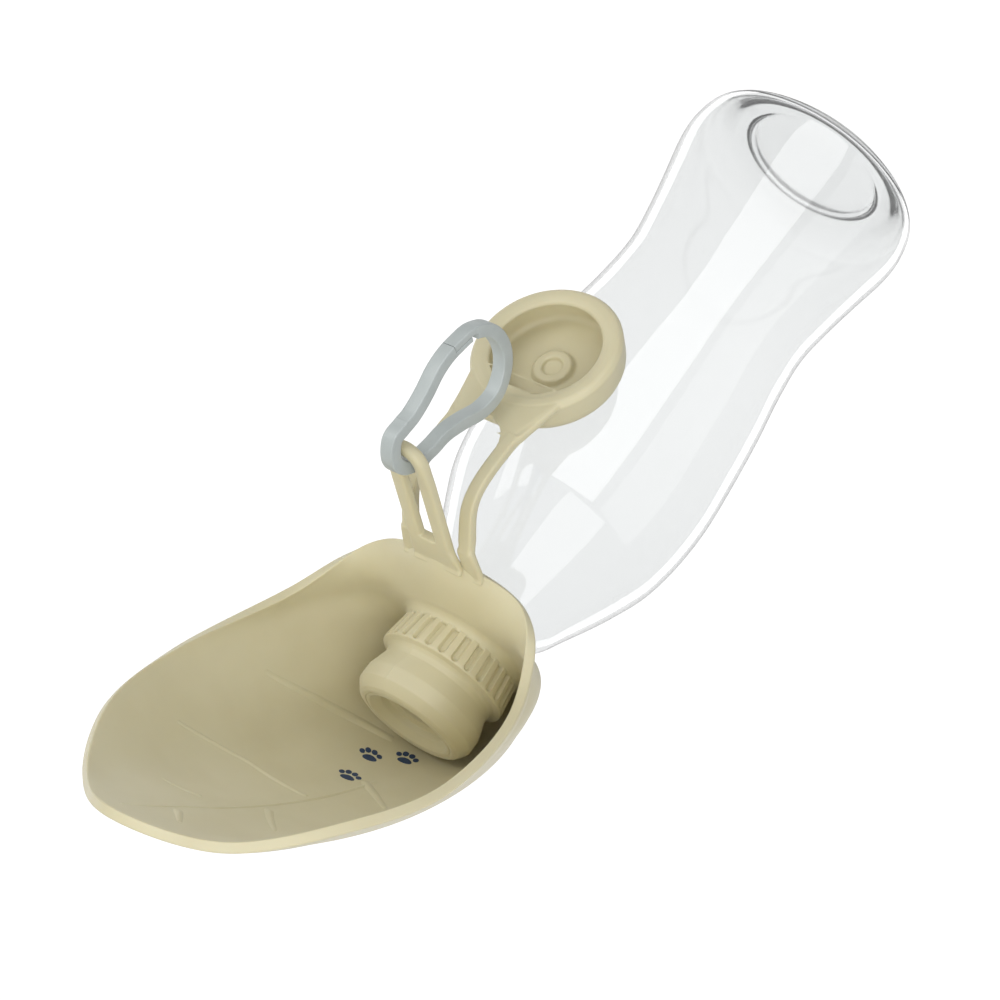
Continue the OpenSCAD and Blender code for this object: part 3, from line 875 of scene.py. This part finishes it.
# Up one edge, round the window, down the other edge and back along the cap's lip
touch_turn = math.atan2(ARM_OUT, WEB_X) + math.acos(TOUCH_R / math.hypot(WEB_X, ARM_OUT))
touch = TOUCH_R * Vector((math.cos(touch_turn), math.sin(touch_turn)))
edge = [touch.lerp(Vector((WEB_X, ARM_OUT)), 0.22 + 0.78 * k / 8) for k in range(9)]
edge.append(Vector((WINDOW_X + 0.6, ARM_OUT)))
start_turn = math.atan2(edge[0].y, edge[0].x)
lip_arc = [LIP_R * Vector((math.cos(a), math.sin(a))) for a in [start_turn * k / 12 for k in range(-11, 12)]]
window = [Vector((WINDOW_X - ARM_GAP * math.cos(a), ARM_GAP * math.sin(a)))
          for a in [math.pi / 2 * (1 - k / 10) for k in range(11)]]
half_web = edge + [Vector((WINDOW_X + 0.6, ARM_GAP))] + window
web_edge = half_web + [Vector((p.x, -p.y)) for p in half_web[-2::-1]] + lip_arc


def inset(points, by):
    """Moves the points of an outline that runs clockwise inwards."""
    moved = []
    for i, p in enumerate(points):
        along = (points[(i + 1) % len(points)] - points[i - 1]).normalized()
        moved.append(p + by * Vector((along.y, -along.x)))
    return moved


def web_drop(x):
    """How far the web's front sinks towards the cap, so that the tilted cap clears the carabiner."""
    return SINK_DEPTH * min(max((SINK_FROM - x) / SINK_OVER, 0), 1)


web_rings = []
for height, by in WEB_FRONT:
    web_rings.append([cap_place @ Vector((p.x, p.y, height - web_drop(p.x))) for p in inset(web_edge, by)])
for height, by in WEB_BACK:
    web_rings.append([cap_place @ Vector((p.x, p.y, height)) for p in inset(web_edge, by)])
web = lofted("web", web_rings)
print("the web's outline has", len(web_edge), "points")

# %% [markdown]
# ## Arms of the strap
#
# Two arms run from the lip over a wide bend to the web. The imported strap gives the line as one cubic
# curve, and each arm is a band swept along it, on the same kind of root as the loop. They end inside the
# web, so that the melting finds them joined.

# %% Arms of the strap
ARM_DROOP, ARM_RUN, ARM_HANG, ARM_LEAN = math.radians(40), 17, 26, math.radians(5)
ARM_SHARE = 0.034
SEAM = 0.3
ARM_STEPS, FIRST_STEP = 32, 3

tilt = math.radians(CAP_TILT)
joint_d, joint_z = CAP_D - WEB_X * math.sin(tilt), CAP_Z + WEB_X * math.cos(tilt)
arm_root = Vector((-LIP_X, TETHER_Z))
leave = Vector((math.cos(ARM_DROOP), -math.sin(ARM_DROOP)))
arm_end = Vector((joint_d - BAND / 2, joint_z + SEAM))
lean = Vector((math.sin(ARM_LEAN), math.cos(ARM_LEAN)))
arm_line = [cubic(arm_root, arm_root + ARM_RUN * leave, arm_end + ARM_HANG * lean, arm_end, k / ARM_STEPS)
            for k in range(FIRST_STEP, ARM_STEPS + 1)]
arm_line += [arm_end - (0.6 + 0.8 * k) * lean for k in range(3)]
half = (ARM_OUT - ARM_GAP) / 2
parts = [cap_body, web]
for side in (-1, 1):
    path = [Vector((-p.x, side * (ARM_GAP + ARM_OUT) / 2, p.y)) for p in arm_line]
    root, root_sections = root_shape(BACK - side * ARM_SHARE, path[:3], half + 0.3, 0.9)
    arm_sections = []
    for i in range(3, len(path)):
        more = 0.3 * max(0, 1 - (i - 3) / 16)
        arm_sections.append(bar_section(-half - more, half + more, -BAND / 2, BAND / 2, 0.7))
    parts.append(lofted("arm", swept(root + path[3:], ACROSS, root_sections + arm_sections)))
print("each arm is", 2 * half, "mm wide and", BAND, "mm thick")

# %% [markdown]
# ## Strap and cap in one
#
# Cap, web and arms are one moulding, so they are melted into one mesh. But the upper part bends at the
# lip and the lower part bends at the cap, and a piece can bend at one joint only. So a plane cuts the
# mesh in two across the arms, away from both bends. Both halves share the cut and its place, and no seam
# shows.

# %% Strap and cap in one
CUT_Z = 160
CAP_BEND = ("tether", "cap", Vector((-58.1, 0, 156)), Vector((-58.1, 0, 148.2)))
strap_and_cap = melted("strap_soft", parts, VOXEL, 5)
pick(strap_and_cap)
bpy.ops.object.duplicate()
cap = named("cap_soft")
for obj, keep_above in ((strap_and_cap, True), (cap, False)):
    in_edit(obj)
    bpy.ops.mesh.bisect(plane_co=(0, 0, CUT_Z * MM), plane_no=(0, 0, 1), use_fill=True,
                        clear_inner=keep_above, clear_outer=not keep_above)
    done()
    smooth(obj, 60)
finish_piece(strap_and_cap, silicone, ["strap"], bend=LIP_BEND)
finish_piece(cap, silicone, ["cap"], bend=CAP_BEND)

# %% [markdown]
# ## The line of the carabiner
#
# The carabiner is one plastic bar, bent to a pear and hung on the tip of the loop. Its middle line is a
# closed smooth curve through a few places, given from the tip: forwards and up. A bar with a rounded
# square section follows stretches of that line.

# %% The line of the carabiner
PEAR = [(6.4, 2), (6.6, -2.5), (6.4, -7), (7.6, -13), (9.6, -19), (10.2, -24), (9.6, -29), (8, -34.5),
        (3.6, -39.4), (-2.5, -41.6), (-9, -41.2), (-14.5, -38), (-17.6, -32.5), (-16.7, -26), (-13, -19.5),
        (-10, -13), (-9, -7), (-7.2, -1), (-3.5, 3.6), (1.5, 4.9)]
HALF_T, HALF_W, BAR_ROUND = 2.1, 1.95, 0.5
tip_mid = loop_place(LOOP_LENGTH - TIP_BAR / 2, 0)


def pear_point(u):
    """A place on the carabiner's middle line, where u counts the places of PEAR."""
    k = math.floor(u)
    d, z = between(*(Vector(PEAR[(k + j) % len(PEAR)]) for j in (-1, 0, 1, 2)), u - k)
    return tip_mid + Vector((-d, 0, z))


def bar_piece(name, stretches):
    """Bar along stretches of the ring: each is where it starts, where it ends, inner and outer edge."""
    places, sections = [], []
    for first, last, low, high in stretches:
        steps = max(1, round((last - first) / 0.09))
        radius = min(BAR_ROUND, (high - low) * 0.4)
        places += [first + (last - first) * k / steps for k in range(steps + 1)]
        sections += [bar_section(-HALF_T, HALF_T, low, high, radius)] * (steps + 1)
    obj = lofted(name, swept([pear_point(u) for u in places], -ACROSS, sections))
    smooth(obj, 35)
    return obj


print("the carabiner's line has", len(PEAR), "places")

# %% [markdown]
# ## Ring and gate
#
# The gate is the part of the bar that springs inwards. Its nose is stepped and laps under the stepped end
# of the ring, so two stretches with different inner and outer edges make each of them. It has no pin: it
# bends at its root.

# %% Ring and gate
GATE_CUT, SEAM_AT, TONGUE_END, LAP_END = 1.2, 5.5, 6.8, 7.2
LAP_IN, TONGUE_OUT = -0.3, -0.42
carabiner_ring = bar_piece("carabiner_ring", [(SEAM_AT + 0.03, LAP_END, LAP_IN, HALF_W),
                                              (LAP_END + 0.06, GATE_CUT + len(PEAR), -HALF_W, HALF_W)])
finish_piece(carabiner_ring, carabiner_grey, ["carabiner_body"], body="carabiner")
spring_gate = bar_piece("carabiner_spring_gate", [(GATE_CUT, SEAM_AT, -HALF_W, HALF_W),
                                                  (SEAM_AT + 0.02, TONGUE_END, -HALF_W, TONGUE_OUT)])
finish_piece(spring_gate, carabiner_grey, ["carabiner_gate"],
             bend=("carabiner", "gate", pear_point(1.65), pear_point(2.35)))

# %% [markdown]
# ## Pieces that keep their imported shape
#
# The sealing washer and the threaded insert are plain turned parts inside the collar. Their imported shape
# is right, so they are not made again. Only their materials change.

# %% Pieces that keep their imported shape
for node, material in (("sealing_washer", washer_rubber), ("thread_insert", insert_white)):
    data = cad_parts[node].data
    data.materials.clear()
    data.materials.append(material)
    print(node, "keeps its packed shape")

# %% [markdown]
# ## White background
#
# The photograph is lit very softly, on pure white. A strong world would do that, but it would wash out
# the silicone. So the world is white to the camera and through the bottle, and plainer to all other
# light. The gloss sees a part of the white.

# %% White background
GLOSS_SHARE = 0.35
WORLD_LIGHT = 0.57


def seen_directly(nodes, links):
    """1 for rays from the camera and through clear plastic, and a little less for reflections."""
    path = nodes.new("ShaderNodeLightPath")
    total = path.outputs["Is Camera Ray"]
    for name, share in (("Is Glossy Ray", GLOSS_SHARE), ("Is Transmission Ray", 1)):
        part = nodes.new("ShaderNodeMath")
        part.operation = "MULTIPLY"
        part.inputs[1].default_value = share
        links.new(path.outputs[name], part.inputs[0])
        add = nodes.new("ShaderNodeMath")
        add.operation = "MAXIMUM"
        links.new(total, add.inputs[0])
        links.new(part.outputs[0], add.inputs[1])
        total = add.outputs[0]
    return total


world = bpy.data.worlds.new("studio")
bpy.context.scene.world = world
world.use_nodes = True
nodes, links = world.node_tree.nodes, world.node_tree.links
background = nodes["Background"]
background.inputs["Color"].default_value = (1, 1, 1, 1)
strength = nodes.new("ShaderNodeMapRange")
strength.inputs["To Min"].default_value = WORLD_LIGHT
strength.inputs["To Max"].default_value = 1.0
links.new(seen_directly(nodes, links), strength.inputs["Value"])
links.new(strength.outputs["Result"], background.inputs["Strength"])
print("the world lights the part at a strength of", WORLD_LIGHT)

# %% [markdown]
# ## Floor
#
# The bottle stands on a plain floor. The floor glows white to the camera in the same way, and less to
# other light, so it still takes a faint shadow. It is left out of reflections, because from this angle
# the bottle's whole side mirrors it, and that would hide the panels of light.

# %% Floor
FLOOR_RADIUS = 4
FLOOR_LIGHT, FLOOR_SEEN = 0.35, 0.95
bpy.ops.mesh.primitive_circle_add(vertices=64, radius=FLOOR_RADIUS, fill_type="NGON")
floor = named("floor")
floor_white = bpy.data.materials.new("floor_white")
floor_white.use_nodes = True
nodes, links = floor_white.node_tree.nodes, floor_white.node_tree.links
shader = nodes["Principled BSDF"]
shader.inputs["Base Color"].default_value = (0.25, 0.25, 0.25, 1)
shader.inputs["Roughness"].default_value = 0.9
shader.inputs["Specular IOR Level"].default_value = 0.0
shader.inputs["Emission Color"].default_value = (1, 1, 1, 1)
glow = nodes.new("ShaderNodeMapRange")
glow.inputs["To Min"].default_value = FLOOR_LIGHT
glow.inputs["To Max"].default_value = FLOOR_SEEN
links.new(seen_directly(nodes, links), glow.inputs["Value"])
links.new(glow.outputs["Result"], shader.inputs["Emission Strength"])
floor.data.materials.append(floor_white)
floor.visible_glossy = False
print("the floor is", 2 * FLOOR_RADIUS, "m wide")

# %% [markdown]
# ## Lamps
#
# Two large soft lamps shape the silicone: a key from the upper left of the picture and a fill from the
# front. Their places are given in the camera's directions, which is how a photographer would place them.

# %% Lamps
def softbox(name, place, target, width, height, power):
    """A large soft lamp at place that faces target. It shows in gloss, but not to the camera."""
    lamp = bpy.data.lights.new(name, "AREA")
    lamp.shape = "RECTANGLE"
    lamp.size, lamp.size_y, lamp.energy = width, height, power
    obj = bpy.data.objects.new(name, lamp)
    obj.location = place
    obj.rotation_mode = "QUATERNION"
    obj.rotation_quaternion = (Vector(target) - Vector(place)).to_track_quat("-Z", "Y")
    obj.visible_camera = False
    obj.visible_transmission = False
    bpy.context.scene.collection.objects.link(obj)


def seen_from_camera(right, up, back):
    """A place near the part, given in the camera's own directions."""
    return middle + right * CAMERA_RIGHT + up * CAMERA_UP + back * CAMERA_BACK


middle = (cad_low + cad_high) / 2
softbox("key", seen_from_camera(-0.54, 0.46, 0.43), middle, 0.5, 0.45, 1.7)
softbox("front_fill", seen_from_camera(0.0, -0.35, 0.85), middle, 0.8, 0.8, 4.5)
print("two lamps face", [round(v / MM) for v in middle], "mm")

# %% [markdown]
# ## Cards for the bottle's gloss
#
# Clear plastic shows its shape by what it mirrors. A photographer sets white cards round it, and so does
# this: tall glowing cards that only gloss can see draw straight-edged panels down the side. They reach
# far below the floor, because the camera looks down on the bottle and the bottle mirrors what lies below.

# %% Cards for the bottle's gloss
# The way that the bottle's side faces the camera, as a turn about the Z axis in degrees
FRONT = math.degrees(math.atan2(CAMERA_BACK.y, CAMERA_BACK.x))
CARD_REACH, CARD_LOW, PANEL_TOP, STRIP_TOP = 0.9, -1.1, 0.30, 0.9


def card(name, turn_from_front, half_turn, high, strength):
    """A glowing upright card round the bottle that shows in gloss only. Its turn is in degrees."""
    centre = math.radians(FRONT + turn_from_front)
    bpy.ops.mesh.primitive_plane_add(size=1)
    panel = named(name)
    width = 2 * CARD_REACH * math.tan(math.radians(half_turn))
    panel.data.transform(Matrix.Translation((CARD_REACH * math.cos(centre), CARD_REACH * math.sin(centre),
                                             (CARD_LOW + high) / 2))
                         @ Matrix.Rotation(centre, 4, "Z") @ Matrix.Rotation(math.radians(-90), 4, "Y")
                         @ Matrix.Diagonal((high - CARD_LOW, width, 1, 1)))
    glow = bpy.data.materials.new(name)
    glow.use_nodes = True
    shader = glow.node_tree.nodes["Principled BSDF"]
    shader.inputs["Base Color"].default_value = (0, 0, 0, 1)
    shader.inputs["Emission Color"].default_value = (1, 1, 1, 1)
    shader.inputs["Emission Strength"].default_value = strength
    panel.data.materials.append(glow)
    for ray in ("camera", "diffuse", "transmission", "volume_scatter", "shadow"):
        setattr(panel, "visible_" + ray, False)
    print(name, round(width, 2), "m wide")


card("bright_card", 8, 24, PANEL_TOP, 4.0)
card("plain_card", -48, 22, PANEL_TOP, 1.6)
card("left_strip", -135, 9, STRIP_TOP, 2.5)
card("right_strip", 135, 9, STRIP_TOP, 2.5)
bpy.context.scene.view_settings.view_transform = "Standard"

# %% [markdown]
# ## Finish
#
# The last line leaves nothing selected.

# %% Finish
bpy.ops.object.select_all(action="DESELECT")
